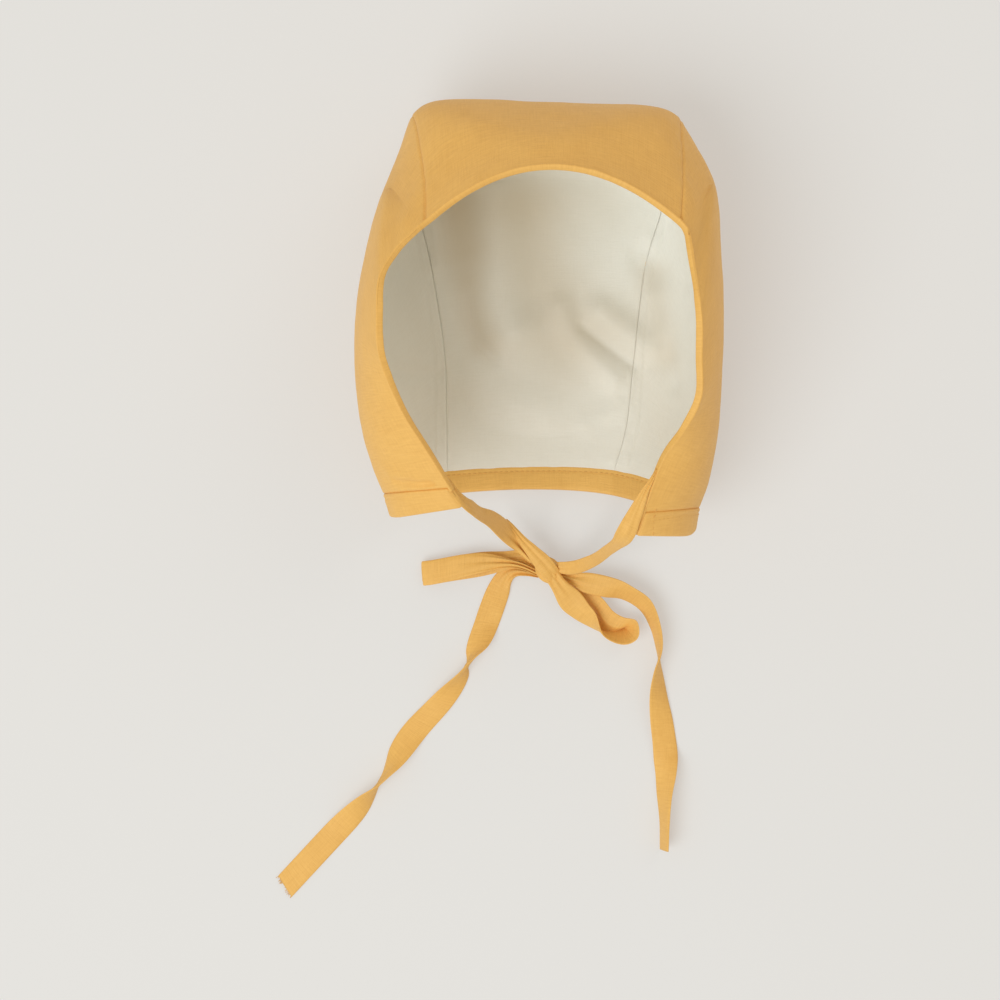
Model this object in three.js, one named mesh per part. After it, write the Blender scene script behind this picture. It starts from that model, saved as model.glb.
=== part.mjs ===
// A baby's bonnet of mustard cotton with a cream lining. It lies on its back with the face opening up,
// and its ties are in a bow on the surface in front of the neck opening.
// Millimetres, +Z up. The origin is on the flat of the back, where the bonnet rests.
// +Y points to the crown, -Y out of the neck opening, and +X to the right side seen from above.

import * as THREE from "three";

// Cloth
const OUTER_CLOTH = 1.2;
const LINING_CLOTH = 1.0;
const CLOTH_GAP = 0.3;
const SEAM_GAP = 0.3;

// The face edge, where the outer cloth is folded in over the lining
const FOLD_WIDTH = 1.9;
const FOLD_DEPTH = OUTER_CLOTH + CLOTH_GAP + LINING_CLOTH;
const FOLD_GAP = 0.6;
const FOLD_STEP = 0.002;

// The neck band stands proud of the panels outside and inside
const BAND_PROUD = 0.4;
const BAND_DEPTH = 2.6;
const BAND_EDGE_ROUND = 0.8;
const BAND_EDGE_ROWS = 0.08;

// The ties are flat folded strips
const TIE_WIDTH = 10.5;
const TIE_CLOTH = 1.2;
const TIE_STEPS_PER_ROW = 2;
const UP = new THREE.Vector3(0, 0, 1);

// Each hoop of a side panel is a quarter round from the seam to the bulge, then leans in to the edge.
// The short hoops by the forehead are shallow curves, and grow round by this row.
const BULGE_AT = 0.55;
const EDGE_LEAN = THREE.MathUtils.degToRad(62);
const ROUND_BY_ROW = 3;

// Towards the neck a hoop's foot stays more upright, by this share, between these rows
const NAPE_UPRIGHT = 0.6;
const NAPE_ROWS = [5, 8];

// At a side panel's pointed tip, and along its free edge, the way out is taken this far inside it
const TIP_ROW = 0.5;
const TIP_COLUMN = 0.97;

// Steps along a face for measuring it, in rows and columns, and the least cosine a mitre is made for
const COLUMN_STEP = 0.02;
const ROW_STEP = 0.1;
const MITRE_COSINE = 0.6;
const HAIR = 0.001;

// Places along the bonnet are counted in rows of the tables below
const FACE_ROW = 0;
const BAND_ROW = 8;
const NECK_ROW = 9;

// The centre strip: the middle of each row, and how square its cross curve is towards the seams.
// A centre below zero makes the back lie flat on the surface.
const STRIP = [
  { at: "face edge", centre: [3.5, 70, 100], square: 2 },
  { at: "brow", centre: [3, 86, 84], square: 2.6 },
  { at: "crown corner", centre: [2.5, 100.9, 54], square: 10 },
  { at: "crown foot", centre: [3, 102, 16], square: 5 },
  { at: "back top", centre: [3, 76.5, 0], square: 3 },
  { at: "back middle", centre: [2, 40.5, -2], square: 3 },
  { at: "back low", centre: [0.5, 5, -2], square: 3 },
  { at: "nape", centre: [0, -25.5, -1], square: 2.5 },
  { at: "band seam", centre: [0, -48.5, 2], square: 2.2 },
  { at: "neck edge", centre: [0, -57.5, 3.5], square: 2.2 },
];

// The side panels: where each row meets the strip, where it bulges out most, and its free edge
const LEFT_SIDE = [
  { at: "face edge", seam: [-46.5, 47.5, 101], bulge: [-48, 46.5, 101.5], edge: [-49.5, 45, 101.7] },
  { at: "brow", seam: [-47.5, 68, 84], bulge: [-55, 56, 89], edge: [-58, 36.5, 102.5] },
  { at: "crown corner", seam: [-52.5, 95, 54], bulge: [-64.3, 63.7, 64], edge: [-64.5, 25.5, 103] },
  { at: "crown foot", seam: [-54, 91.5, 18], bulge: [-73.2, 33.8, 56], edge: [-65.5, 12, 103] },
  { at: "back top", seam: [-53, 67.5, 1.5], bulge: [-76.5, 10.5, 54], edge: [-65, -3, 101.5] },
  { at: "back middle", seam: [-46.5, 38, 0], bulge: [-76.5, -11, 53], edge: [-61.4, -14.7, 98] },
  { at: "back low", seam: [-41, 2.5, 0], bulge: [-74, -32.5, 51], edge: [-54.7, -28.9, 93] },
  { at: "nape", seam: [-40, -27.5, 1.5], bulge: [-70, -47, 48], edge: [-44.5, -45, 86] },
  { at: "band seam", seam: [-39.5, -50.5, 5], bulge: [-65, -60.2, 44], edge: [-36.5, -58, 80] },
  { at: "neck edge", seam: [-38, -59.5, 7], bulge: [-62, -69.8, 42], edge: [-31.5, -65, 77] },
];
const RIGHT_SIDE = [
  { at: "face edge", seam: [54.5, 47.5, 101], bulge: [56, 46, 101.5], edge: [57.5, 43.5, 101.7] },
  { at: "brow", seam: [56.5, 69, 84], bulge: [62.5, 54.5, 89], edge: [59, 33, 102.5] },
  { at: "crown corner", seam: [57.5, 93.5, 54], bulge: [70.5, 66.5, 64], edge: [61, 20.5, 103] },
  { at: "crown foot", seam: [59.5, 92, 18], bulge: [73.5, 38, 56], edge: [62.5, 8, 102.5] },
  { at: "back top", seam: [54.5, 68.5, 1.5], bulge: [74.5, 12.5, 54], edge: [62.5, -6, 101] },
  { at: "back middle", seam: [45.5, 38.5, 0], bulge: [74, -10, 53], edge: [62.5, -21.5, 98] },
  { at: "back low", seam: [41, 2.5, 0], bulge: [72.5, -34.5, 51], edge: [56, -34.8, 93] },
  { at: "nape", seam: [37.5, -29.5, 1.5], bulge: [69.5, -53.5, 48], edge: [48, -46, 87] },
  { at: "band seam", seam: [32, -50, 5], bulge: [65.5, -66, 44], edge: [40, -68.2, 80] },
  { at: "neck edge", seam: [31, -60, 7], bulge: [63.5, -77, 42], edge: [37.5, -76.5, 77] },
];

// The slack folds of the lining: the ends of each crest, its rise and how far it reaches to each side
const LINING_FOLDS = [
  { at: "left of the crown", from: [-44.5, 54, 2], to: [-26, 2, 2], rise: 3.5, reach: 4.5 },
  { at: "middle of the back", from: [-4, 12, 2], to: [4, 12, 2], rise: 2, reach: 8 },
  { at: "across to the right seam", from: [6, 22, 2], to: [30, -12, 2], rise: 2.6, reach: 6 },
  { at: "by the right seam", from: [31, 26, 2], to: [38, 8, 2], rise: 2, reach: 5 },
  { at: "right side", from: [50, 42, 4], to: [61, 12, 22], rise: 2, reach: 5 },
];

// The ties: the middle of each row, the way its width lies in plan, and how far the width tips up,
// both in degrees. A turn of 180 is a twist. A narrow row is gathered or folded lengthwise.
const LEAD_LEFT = [
  { middle: [-31.4, -62.2, 79.1], across: -62, tip: -4, width: 7.8 },
  { middle: [-30.3, -63.2, 75.5], across: -66, tip: 22, width: 7.8 },
  { middle: [-28.3, -65, 66], across: -80, tip: 56 },
  { middle: [-25.3, -67.5, 53], across: -100, tip: 58 },
  { middle: [-20.8, -69.8, 38.5], across: -114, tip: 50 },
  { middle: [-16.4, -73.6, 26], across: -118, tip: 42 },
  { middle: [-12.2, -77.8, 17], across: -120, tip: 28, width: 8.2 },
  { middle: [-7.6, -82.4, 11.8], across: -126, tip: 18, width: 5 },
];
const LEAD_RIGHT = [
  { middle: [35.8, -70, 79], across: 114, tip: 24, width: 8 },
  { middle: [33.2, -73.9, 77], across: 134, tip: 38, width: 8.8 },
  { middle: [30.9, -77.8, 68], across: 140, tip: 62 },
  { middle: [27.2, -82.6, 48], across: 138, tip: 61 },
  { middle: [22.7, -87, 30], across: 132, tip: 58 },
  { middle: [16.8, -90, 17], across: 112, tip: 46, width: 8.6 },
  { middle: [13, -90.8, 13], across: 100, tip: 36, width: 7 },
];
const LOOP_LEFT = [
  { middle: [-7, -90, 6.8], across: -116, tip: 12, width: 3.2 },
  { middle: [-15.9, -88.8, 6.9], across: -105, tip: 10, width: 5 },
  { middle: [-23.6, -88.8, 6.7], across: -96, tip: 6, width: 8.2 },
  { middle: [-31.2, -89.9, 6.2], across: -93, tip: 3, width: 9.8 },
  { middle: [-38.5, -91.5, 5.2], across: -90, tip: 0 },
  { middle: [-46, -93, 4.6], across: -88, tip: 0 },
  { middle: [-50, -93.5, 3.2], across: -86, tip: 0 },
  { middle: [-46, -93, 1.8], across: -87, tip: 0 },
  { middle: [-38, -91.6, 1.8], across: -86, tip: 0 },
  { middle: [-25.5, -89.6, 2.2], across: -88, tip: 2 },
  { middle: [-15.5, -88.2, 3], across: -95, tip: 6, width: 8.5 },
  { middle: [-8.3, -86.6, 4.2], across: -112, tip: 8, width: 6 },
];
const LOOP_RIGHT = [
  { middle: [8.4, -98.7, 9.5], across: 36, tip: 14, width: 7.2 },
  { middle: [12.7, -104.3, 7.6], across: 40, tip: 8 },
  { middle: [17.6, -109.5, 6.4], across: 40, tip: 32 },
  { middle: [22.2, -113.4, 5.6], across: 54, tip: 54 },
  { middle: [26.2, -118.2, 5.4], across: 60, tip: 90 },
  { middle: [30.5, -119.6, 5], across: 72, tip: 117 },
  { middle: [35.6, -120.4, 4.6], across: 95, tip: 130 },
  { middle: [39, -119.2, 4.6], across: 135, tip: 130 },
  { middle: [39.3, -116.6, 4.6], across: 186, tip: 126 },
  { middle: [37.8, -114.8, 4.4], across: 214, tip: 132 },
  { middle: [33.2, -114, 4.2], across: 232, tip: 139 },
  { middle: [29, -112.1, 4.2], across: 236, tip: 142 },
  { middle: [25, -107.8, 4], across: 232, tip: 142, width: 10 },
  { middle: [21, -103.8, 3.6], across: 228, tip: 150, width: 8.8 },
  { middle: [17, -99.5, 2.8], across: 226, tip: 160, width: 7 },
  { middle: [12, -96.5, 2.6], across: 235, tip: 168, width: 5.5 },
];
const TAIL_LEFT = [
  { middle: [-5.5, -92.9, 3.2], across: 78, tip: 6, width: 3.6 },
  { middle: [-10.5, -92.6, 2.6], across: 95, tip: 2, width: 5 },
  { middle: [-14.6, -95, 1.6], across: 128, tip: 0, width: 7.6 },
  { middle: [-17.6, -100.8, 0.9], across: 154, tip: 0, width: 9.8 },
  { middle: [-20.5, -108.5, 0.9], across: 166, tip: 0 },
  { middle: [-23.3, -116.5, 0.9], across: 173, tip: 0 },
  { middle: [-27, -125.5, 3.4], across: 186, tip: -30 },
  { middle: [-30.9, -132.4, 4.6], across: 198, tip: -90, width: 8 },
  { middle: [-34.3, -138.5, 4.2], across: 186, tip: -135 },
  { middle: [-42.5, -149, 1.6], across: 164, tip: -174 },
  { middle: [-53, -160.5, 0.9], across: 148, tip: -180 },
  { middle: [-60.3, -170.3, 3], across: 136, tip: -205 },
  { middle: [-64.5, -177, 4.4], across: 134, tip: -238, width: 9.5 },
  { middle: [-68.7, -183.3, 4.6], across: 132, tip: -268, width: 8.5 },
  { middle: [-76, -192.5, 3.8], across: 132, tip: -318 },
  { middle: [-88, -205, 0.9], across: 134, tip: -356 },
  { middle: [-99, -216.8, 0.9], across: 138, tip: -360 },
  { middle: [-109.4, -228, 0.9], across: 139, tip: -360 },
];
const TAIL_RIGHT = [
  { middle: [14, -95.8, 5.9], across: 72, tip: 0, width: 5 },
  { middle: [19.7, -97.1, 6.9], across: 72, tip: -4, width: 8.6 },
  { middle: [28.8, -99.2, 8.4], across: 64, tip: -15, width: 9.8 },
  { middle: [37, -101.6, 6.8], across: 54, tip: -48 },
  { middle: [45.2, -107, 5.4], across: 48, tip: -52 },
  { middle: [49.5, -116, 5.4], across: 34, tip: -64 },
  { middle: [51.2, -126, 5.4], across: 10, tip: -79 },
  { middle: [50.7, -135.5, 5.3], across: 0, tip: -112 },
  { middle: [51, -146, 4.2], across: -8, tip: -140 },
  { middle: [52.4, -157, 2.2], across: 0, tip: -162 },
  { middle: [53.9, -168.5, 1.4], across: 0, tip: -170 },
  { middle: [54.1, -178.5, 3.8], across: 0, tip: -212 },
  { middle: [53.4, -189, 5.1], across: 0, tip: -236 },
  { middle: [53.4, -200, 5.4], across: 0, tip: -250 },
  { middle: [53.3, -212, 5.4], across: 0, tip: -254 },
];

// The knot is a squashed ball that leans along the right loop
const KNOT_MIDDLE = [3.5, -92, 6.6];
const KNOT_RADII = [7, 5.4, 6.4];
const KNOT_TURN = THREE.MathUtils.degToRad(-48);
const KNOT_FACETS = [14, 10];

const OUTER_FINISH = { color: 0xd9a65a, roughness: 0.85, metalness: 0 };
const LINING_FINISH = { color: 0xe6dfcd, roughness: 0.9, metalness: 0 };

// A smooth curve through one column of a table, read by row number
function through(rows, key) {
  const points = rows.map((row) => new THREE.Vector3(...[row[key]].flat()));
  const curve = new THREE.CatmullRomCurve3(points, false, "catmullrom", 0.5);
  const last = rows.length - 1;
  return (row) => curve.getPoint(THREE.MathUtils.clamp(row / last, 0, 1));
}

// The same for a column of plain numbers, with a value for the rows that state none
function numbersThrough(rows, key, otherwise) {
  const curve = through(rows.map((row) => ({ value: [row[key] ?? otherwise, 0, 0] })), "value");
  return (row) => curve(row).x;
}

// Cloth that would sink into the surface lies flat on it
function onSurface(point) {
  point.z = Math.max(point.z, 0);
  return point;
}

// The outer face of a side panel: row along the bonnet, u from the seam (0) to the free edge (1)
function sideFace(rows) {
  const seam = through(rows, "seam");
  const bulge = through(rows, "bulge");
  const edge = through(rows, "edge");
  return (row, u) => {
    const ends = [seam(row), bulge(row), edge(row)];
    const round = THREE.MathUtils.smoothstep(row, 0, ROUND_BY_ROW);
    const upright = NAPE_UPRIGHT * THREE.MathUtils.smoothstep(row, ...NAPE_ROWS);
    return onSurface(shallowHoop(ends, u).lerp(roundHoop(ends, u, upright), round));
  };
}

// The parabola through seam, bulge and edge
function shallowHoop([seam, bulge, edge], u) {
  const atBulge = (u * (u - 1)) / (BULGE_AT * (BULGE_AT - 1));
  const atEdge = (u * (u - BULGE_AT)) / (1 - BULGE_AT);
  const point = seam.clone().multiplyScalar(1 - atBulge - atEdge);
  return point.addScaledVector(bulge, atBulge).addScaledVector(edge, atEdge);
}

// The quarter round up to the bulge, and the lean in from there
function roundHoop([seam, bulge, edge], u, upright) {
  if (u < BULGE_AT) {
    const turn = ((u / BULGE_AT) * Math.PI) / 2;
    const [out, up] = [Math.sin(turn), 1 - Math.cos(turn)];
    const along = THREE.MathUtils.lerp(out, up, upright);
    return bulge.clone().sub(seam).multiply(new THREE.Vector3(out, along, up)).add(seam);
  }
  const turn = ((u - BULGE_AT) / (1 - BULGE_AT)) * EDGE_LEAN;
  const along = (1 - Math.cos(turn)) / (1 - Math.cos(EDGE_LEAN));
  const up = Math.sin(turn) / Math.sin(EDGE_LEAN);
  return edge.clone().sub(bulge).multiply(new THREE.Vector3(along, along, up)).add(bulge);
}

// The outer face of the centre strip: w from the left seam (-1) to the right seam (1)
function stripFace() {
  const centre = through(STRIP, "centre");
  const square = numbersThrough(STRIP, "square");
  const left = through(LEFT_SIDE, "seam");
  const right = through(RIGHT_SIDE, "seam");
  return (row, w) => {
    const a = left(row);
    const b = right(row);
    const middle = centre(row);
    const sag = a.clone().add(b).multiplyScalar(0.5).sub(middle);
    const half = b.sub(a).multiplyScalar(0.5);
    return onSurface(middle.addScaledVector(half, w).addScaledVector(sag, Math.abs(w) ** square(row)));
  };
}

// The way out of a face at a point. hand is 1 or -1, whichever turns the cross product outwards.
function wayOut(face, row, u, hand, low) {
  const uLow = Math.max(u - COLUMN_STEP, low);
  const uHigh = Math.min(u + COLUMN_STEP, 1);
  const rowLow = Math.max(row - COLUMN_STEP, FACE_ROW);
  const rowHigh = Math.min(row + COLUMN_STEP, NECK_ROW);
  const alongU = face(row, uHigh).sub(face(row, uLow));
  const alongRow = face(rowHigh, u).sub(face(rowLow, u));
  return alongU.cross(alongRow).normalize().multiplyScalar(hand);
}

const strip = { face: stripFace(), hand: 1, low: -1 };
const leftSide = { face: sideFace(LEFT_SIDE), hand: -1, low: 0 };
const rightSide = { face: sideFace(RIGHT_SIDE), hand: 1, low: 0 };

function seamAt(panel, u) {
  return panel === strip ? Math.abs(u) > 1 - HAIR : u < HAIR;
}

// At a seam both panels are mitred: they share one way out, stretched by the angle between them
function mitre(row, side, w) {
  const a = wayOut(strip.face, row, w, strip.hand, strip.low);
  const b = wayOut(side.face, Math.max(row, TIP_ROW), 0, side.hand, side.low);
  const between = a.clone().add(b).normalize();
  return between.divideScalar(Math.max(between.dot(a), MITRE_COSINE));
}

function outward(panel, row, u) {
  if (panel === strip && seamAt(panel, u)) return mitre(row, u < 0 ? leftSide : rightSide, Math.sign(u));
  if (panel !== strip && seamAt(panel, u)) return mitre(row, panel, panel === leftSide ? -1 : 1);
  if (panel === strip) return wayOut(panel.face, row, u, panel.hand, panel.low);
  const [inRow, inU] = [Math.max(row, TIP_ROW), Math.min(u, TIP_COLUMN)];
  return wayOut(panel.face, inRow, inU, panel.hand, panel.low);
}

// How far a fold lifts the lining at a point
function lift(point) {
  let total = 0;
  for (const fold of LINING_FOLDS) {
    const crest = new THREE.Line3(new THREE.Vector3(...fold.from), new THREE.Vector3(...fold.to));
    const nearest = crest.closestPointToPoint(point, true, new THREE.Vector3());
    total += fold.rise * Math.exp(-((point.distanceTo(nearest) / fold.reach) ** 2));
  }
  return total;
}

// A closed solid from a grid of pairs [outer point, inner point]
function wall(grid) {
  const rows = grid.length;
  const columns = grid[0].length;
  const positions = grid.flat().flatMap(([outer, inner]) => [...outer.toArray(), ...inner.toArray()]);
  const at = (i, j, inner) => 2 * (i * columns + j) + inner;
  const faces = [];
  const quad = (a, b, c, d) => faces.push(a, b, c, a, c, d);
  for (let i = 0; i < rows - 1; i++) {
    for (let j = 0; j < columns - 1; j++) {
      quad(at(i, j, 0), at(i + 1, j, 0), at(i + 1, j + 1, 0), at(i, j + 1, 0));
      quad(at(i, j, 1), at(i, j + 1, 1), at(i + 1, j + 1, 1), at(i + 1, j, 1));
    }
    quad(at(i, 0, 0), at(i, 0, 1), at(i + 1, 0, 1), at(i + 1, 0, 0));
    quad(at(i, columns - 1, 0), at(i + 1, columns - 1, 0), at(i + 1, columns - 1, 1), at(i, columns - 1, 1));
  }
  for (let j = 0; j < columns - 1; j++) {
    quad(at(0, j, 0), at(0, j + 1, 0), at(0, j + 1, 1), at(0, j, 1));
    quad(at(rows - 1, j, 0), at(rows - 1, j, 1), at(rows - 1, j + 1, 1), at(rows - 1, j + 1, 0));
  }
  return facingOut(positions, faces);
}

// The geometry of a closed mesh, turned round if its faces point in
function facingOut(positions, faces) {
  const corner = (k) => new THREE.Vector3(...positions.slice(3 * k, 3 * k + 3));
  let volume = 0;
  for (let k = 0; k < faces.length; k += 3) {
    volume += corner(faces[k]).dot(corner(faces[k + 1]).cross(corner(faces[k + 2])));
  }
  if (volume < 0) faces.reverse();
  const geometry = new THREE.BufferGeometry();
  geometry.setAttribute("position", new THREE.Float32BufferAttribute(positions, 3));
  geometry.setIndex(faces);
  geometry.computeVertexNormals();
  return geometry;
}

function named(name, geometry, finish) {
  const mesh = new THREE.Mesh(geometry, new THREE.MeshStandardMaterial(finish));
  mesh.name = name;
  return mesh;
}

// Values from low to high with both ends, closer together towards them
function easedSteps(low, high, count) {
  const middle = (low + high) / 2;
  const half = (high - low) / 2;
  return Array.from({ length: count + 1 }, (_, i) => middle - half * Math.cos((Math.PI * i) / count));
}

function evenSteps(low, high, count) {
  return Array.from({ length: count + 1 }, (_, i) => low + ((high - low) * i) / count);
}

// How much of a row or a column a length in millimetres takes, near a place on a panel
function rowsIn(panel, length, row, u) {
  return (length * ROW_STEP) / panel.face(row, u).distanceTo(panel.face(row + ROW_STEP, u));
}
function edgeColumnsIn(panel, length, row) {
  return (length * COLUMN_STEP) / panel.face(row, 1).distanceTo(panel.face(row, 1 - COLUMN_STEP));
}

// The point at a depth under a face, with the half gap that each panel leaves at its seams
function under(panel, row, u, depth, folds) {
  const point = panel.face(row, u);
  const out = outward(panel, row, u);
  const sunk = point.clone().addScaledVector(out, -depth);
  return folds ? sunk.addScaledVector(out, -lift(sunk)) : sunk;
}

// Column places are kept a half seam gap from a seam, but take the way out of the seam itself
function panelGrid(panel, rowPlaces, columnPlaces, depths, folds = false) {
  return rowPlaces.map((row) =>
    columnPlaces(row).map((u) => {
      const pair = depths(row, u).map((depth) => under(panel, row, u, depth, folds));
      if (!seamAt(panel, u)) return pair;
      const aside = panel.face(row, u - Math.sign(u || -1) * COLUMN_STEP).sub(panel.face(row, u));
      return pair.map((point) => point.addScaledVector(aside.normalize(), SEAM_GAP / 2));
    }),
  );
}
const STRIP_COLUMNS = easedSteps(-1, 1, 12);
const PANEL_ROWS = evenSteps(FACE_ROW, BAND_ROW, 20);
const SIDE_COLUMNS = [0, 0.07, 0.15, 0.24, 0.33, 0.43, 0.55, 0.66, 0.78, 0.89];

// The rows of a panel that the lining reaches: from the folded edge to the neck band
function liningRows(panel) {
  const middle = (panel.low + 1) / 2;
  const first = rowsIn(panel, FOLD_WIDTH + FOLD_GAP, FACE_ROW, middle);
  const last = BAND_ROW - rowsIn(panel, SEAM_GAP, BAND_ROW - ROW_STEP, middle);
  return [first, ...PANEL_ROWS.slice(1, -1), last];
}

// A side panel's columns, as far as the lining goes: short of the folded edge
function liningColumns(panel, row) {
  const end = 1 - edgeColumnsIn(panel, FOLD_WIDTH + FOLD_GAP, row);
  return [...SIDE_COLUMNS, 1].map((u) => u * end);
}

// The outer cloth of a panel: from the face edge, where it is folded in, to the neck band
function outerPanel(name, panel) {
  const foldRows = rowsIn(panel, FOLD_WIDTH, FACE_ROW, (panel.low + 1) / 2);
  const rows = [FACE_ROW, foldRows, foldRows + FOLD_STEP, ...liningRows(panel)];
  const foldFrom = (row) => 1 - edgeColumnsIn(panel, FOLD_WIDTH, row);
  const columns = (row) => {
    if (panel === strip) return STRIP_COLUMNS;
    const start = foldFrom(row);
    return [...liningColumns(panel, row).slice(0, -1), start - FOLD_STEP, start, 1];
  };
  const depths = (row, u) => {
    const folded = row < foldRows + HAIR || (panel !== strip && u > foldFrom(row) - HAIR);
    return [0, folded ? FOLD_DEPTH : OUTER_CLOTH];
  };
  return named(name, wall(panelGrid(panel, rows, columns, depths)), OUTER_FINISH);
}

// The lining of a panel: inside the outer cloth, short of the folded edge and of the neck band
function liningPanel(name, panel) {
  const columns = (row) => (panel === strip ? STRIP_COLUMNS : liningColumns(panel, row));
  const depths = () => [OUTER_CLOTH + CLOTH_GAP, OUTER_CLOTH + CLOTH_GAP + LINING_CLOTH];
  return named(name, wall(panelGrid(panel, liningRows(panel), columns, depths, true)), LINING_FINISH);
}

// The neck band: one folded strip from the left front corner over the nape to the right one
function neckBand() {
  const start = BAND_ROW + rowsIn(strip, SEAM_GAP / 2, BAND_ROW, 0);
  const rows = [
    { row: start, proud: 0, depth: BAND_DEPTH - BAND_EDGE_ROUND / 2 },
    { row: start + BAND_EDGE_ROWS, proud: BAND_PROUD, depth: BAND_DEPTH },
    { row: (start + NECK_ROW) / 2, proud: BAND_PROUD, depth: BAND_DEPTH },
    { row: NECK_ROW - BAND_EDGE_ROWS, proud: BAND_PROUD, depth: BAND_DEPTH },
    { row: NECK_ROW, proud: BAND_PROUD - BAND_EDGE_ROUND, depth: BAND_DEPTH - BAND_EDGE_ROUND },
  ];
  const sideColumns = evenSteps(0, 1, 12).slice(1);
  const places = [
    ...sideColumns.map((u) => [leftSide, u]).reverse(),
    ...easedSteps(-1, 1, 10).map((w) => [strip, w]),
    ...sideColumns.map((u) => [rightSide, u]),
  ];
  const grid = rows.map(({ row, proud, depth }) =>
    places.map(([panel, u]) => [under(panel, row, u, -proud), under(panel, row, u, depth)].map(onSurface)),
  );
  return named("neck_band", wall(grid), OUTER_FINISH);
}

// A tie: a flat strip along a route, with its width turned and tipped as the rows say
function tie(name, rows) {
  const middle = through(rows, "middle");
  const across = numbersThrough(rows, "across");
  const tip = numbersThrough(rows, "tip");
  const width = numbersThrough(rows, "width", TIE_WIDTH);
  const last = rows.length - 1;
  const grid = evenSteps(0, last, last * TIE_STEPS_PER_ROW).map((row) => {
    const turn = THREE.MathUtils.degToRad(across(row));
    const lean = THREE.MathUtils.degToRad(tip(row));
    const half = new THREE.Vector3(Math.cos(lean), 0, Math.sin(lean)).multiplyScalar(width(row) / 2);
    half.applyAxisAngle(UP, turn);
    const ahead = middle(Math.min(row + 0.05, last)).sub(middle(Math.max(row - 0.05, 0)));
    const thick = half.clone().cross(ahead).normalize().multiplyScalar(TIE_CLOTH / 2);
    return [-1, 0, 1].map((side) => {
      const point = middle(row).addScaledVector(half, side);
      return [point.clone().add(thick), point.clone().sub(thick)].map(onSurface);
    });
  });
  return named(name, wall(grid), OUTER_FINISH);
}

function knot() {
  const ball = new THREE.SphereGeometry(1, ...KNOT_FACETS);
  ball.scale(...KNOT_RADII);
  const mesh = named("bow_knot", ball, OUTER_FINISH);
  mesh.rotation.z = KNOT_TURN;
  mesh.position.set(...KNOT_MIDDLE);
  return mesh;
}

const bonnet = new THREE.Group();
bonnet.add(
  outerPanel("crown_panel", strip),
  outerPanel("side_panel_left", leftSide),
  outerPanel("side_panel_right", rightSide),
  liningPanel("lining_crown", strip),
  liningPanel("lining_left", leftSide),
  liningPanel("lining_right", rightSide),
  neckBand(),
);

const bow = new THREE.Group();
bow.add(
  tie("tie_lead_left", LEAD_LEFT),
  tie("tie_lead_right", LEAD_RIGHT),
  knot(),
  tie("bow_loop_left", LOOP_LEFT),
  tie("bow_loop_right", LOOP_RIGHT),
  tie("tie_tail_left", TAIL_LEFT),
  tie("tie_tail_right", TAIL_RIGHT),
);
bonnet.add(bow);

export default bonnet;
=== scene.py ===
# %% [markdown]
# # A baby's bonnet, lying on its back
# The bonnet is two layers of thin cotton: mustard outside and cream inside. It is cut as three panels, a long strip
# that runs from the forehead over the crown and down the back, and a side panel left and right. A turned edge runs
# round the face, a folded band closes the neck, and a limp tie is sewn to each end of the band.
# Here it lies on its back with the face opening up, and the ties are knotted in a bow in front of it.
# The CAD model holds the real sizes. This file dresses it: it makes the cloth, the ties, the stitches and the light.
# Sizes are in millimetres, as in the CAD source, and are turned into Blender's metres where a mesh is made.

# %% Load the CAD frame
import math
import random

import bmesh
import bpy
import numpy as np
from mathutils import Matrix, Vector, noise


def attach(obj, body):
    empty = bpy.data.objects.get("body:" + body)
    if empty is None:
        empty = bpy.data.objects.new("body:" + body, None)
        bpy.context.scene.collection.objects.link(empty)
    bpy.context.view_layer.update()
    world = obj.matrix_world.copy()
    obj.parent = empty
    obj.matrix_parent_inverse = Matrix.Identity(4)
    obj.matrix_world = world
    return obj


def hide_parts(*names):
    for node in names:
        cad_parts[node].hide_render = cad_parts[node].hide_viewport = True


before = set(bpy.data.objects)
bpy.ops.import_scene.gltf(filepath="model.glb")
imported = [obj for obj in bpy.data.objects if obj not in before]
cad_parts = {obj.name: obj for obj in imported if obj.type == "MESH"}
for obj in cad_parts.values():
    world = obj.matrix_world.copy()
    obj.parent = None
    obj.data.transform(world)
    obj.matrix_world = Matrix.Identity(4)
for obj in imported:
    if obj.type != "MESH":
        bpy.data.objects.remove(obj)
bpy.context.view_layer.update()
MM = 0.001

# %% [markdown]
# ## The camera
# The photograph looks straight down at the bonnet. A Blender camera that isn't turned looks down with +Y at the top
# of the picture, so it only has to be put above the middle of the view. The lens is given as the half width that it
# sees on the surface, because that half width and the height are what fix the size of everything in the picture.

# %% The camera
CAMERA_ABOVE = (-17, -62, 1200)
HALF_VIEW = 215

lens = bpy.data.cameras.new("camera_above")
lens.angle = 2 * math.atan(HALF_VIEW / CAMERA_ABOVE[2])
camera = bpy.data.objects.new("camera_above", lens)
camera.location = Vector(CAMERA_ABOVE) * MM
bpy.context.scene.collection.objects.link(camera)
bpy.context.scene.camera = camera
print("camera sees", 2 * HALF_VIEW, "mm across the surface")

# %% [markdown]
# ## Smooth curves through a few measured rows
# Cloth never turns in corners, so everything here is drawn through a short table of measured rows with a Catmull-Rom
# curve: it passes through each row and leaves it in the direction of its neighbours. numpy reads a whole list of
# places at once, which is much quicker than a Python loop over every vertex.

# %% A curve through rows
def through(values, t):
    """Points on the smooth curve through the rows of numbers, where t counts rows from 0."""
    values = np.array(values, float)
    last = len(values) - 1
    ends = np.vstack([2 * values[0] - values[1], values, 2 * values[-1] - values[-2]])
    i = np.clip(np.floor(t).astype(int), 0, last - 1)
    f = (t - i)[..., None]
    a, b, c, d = (ends[i + k] for k in range(4))
    return 0.5 * (2 * b + (c - a) * f + (2 * a - 5 * b + 4 * c - d) * f**2 + (3 * b - a - 3 * c + d) * f**3)


def unit(vectors):
    return vectors / np.maximum(np.linalg.norm(vectors, axis=-1, keepdims=True), 1e-9)


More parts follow.
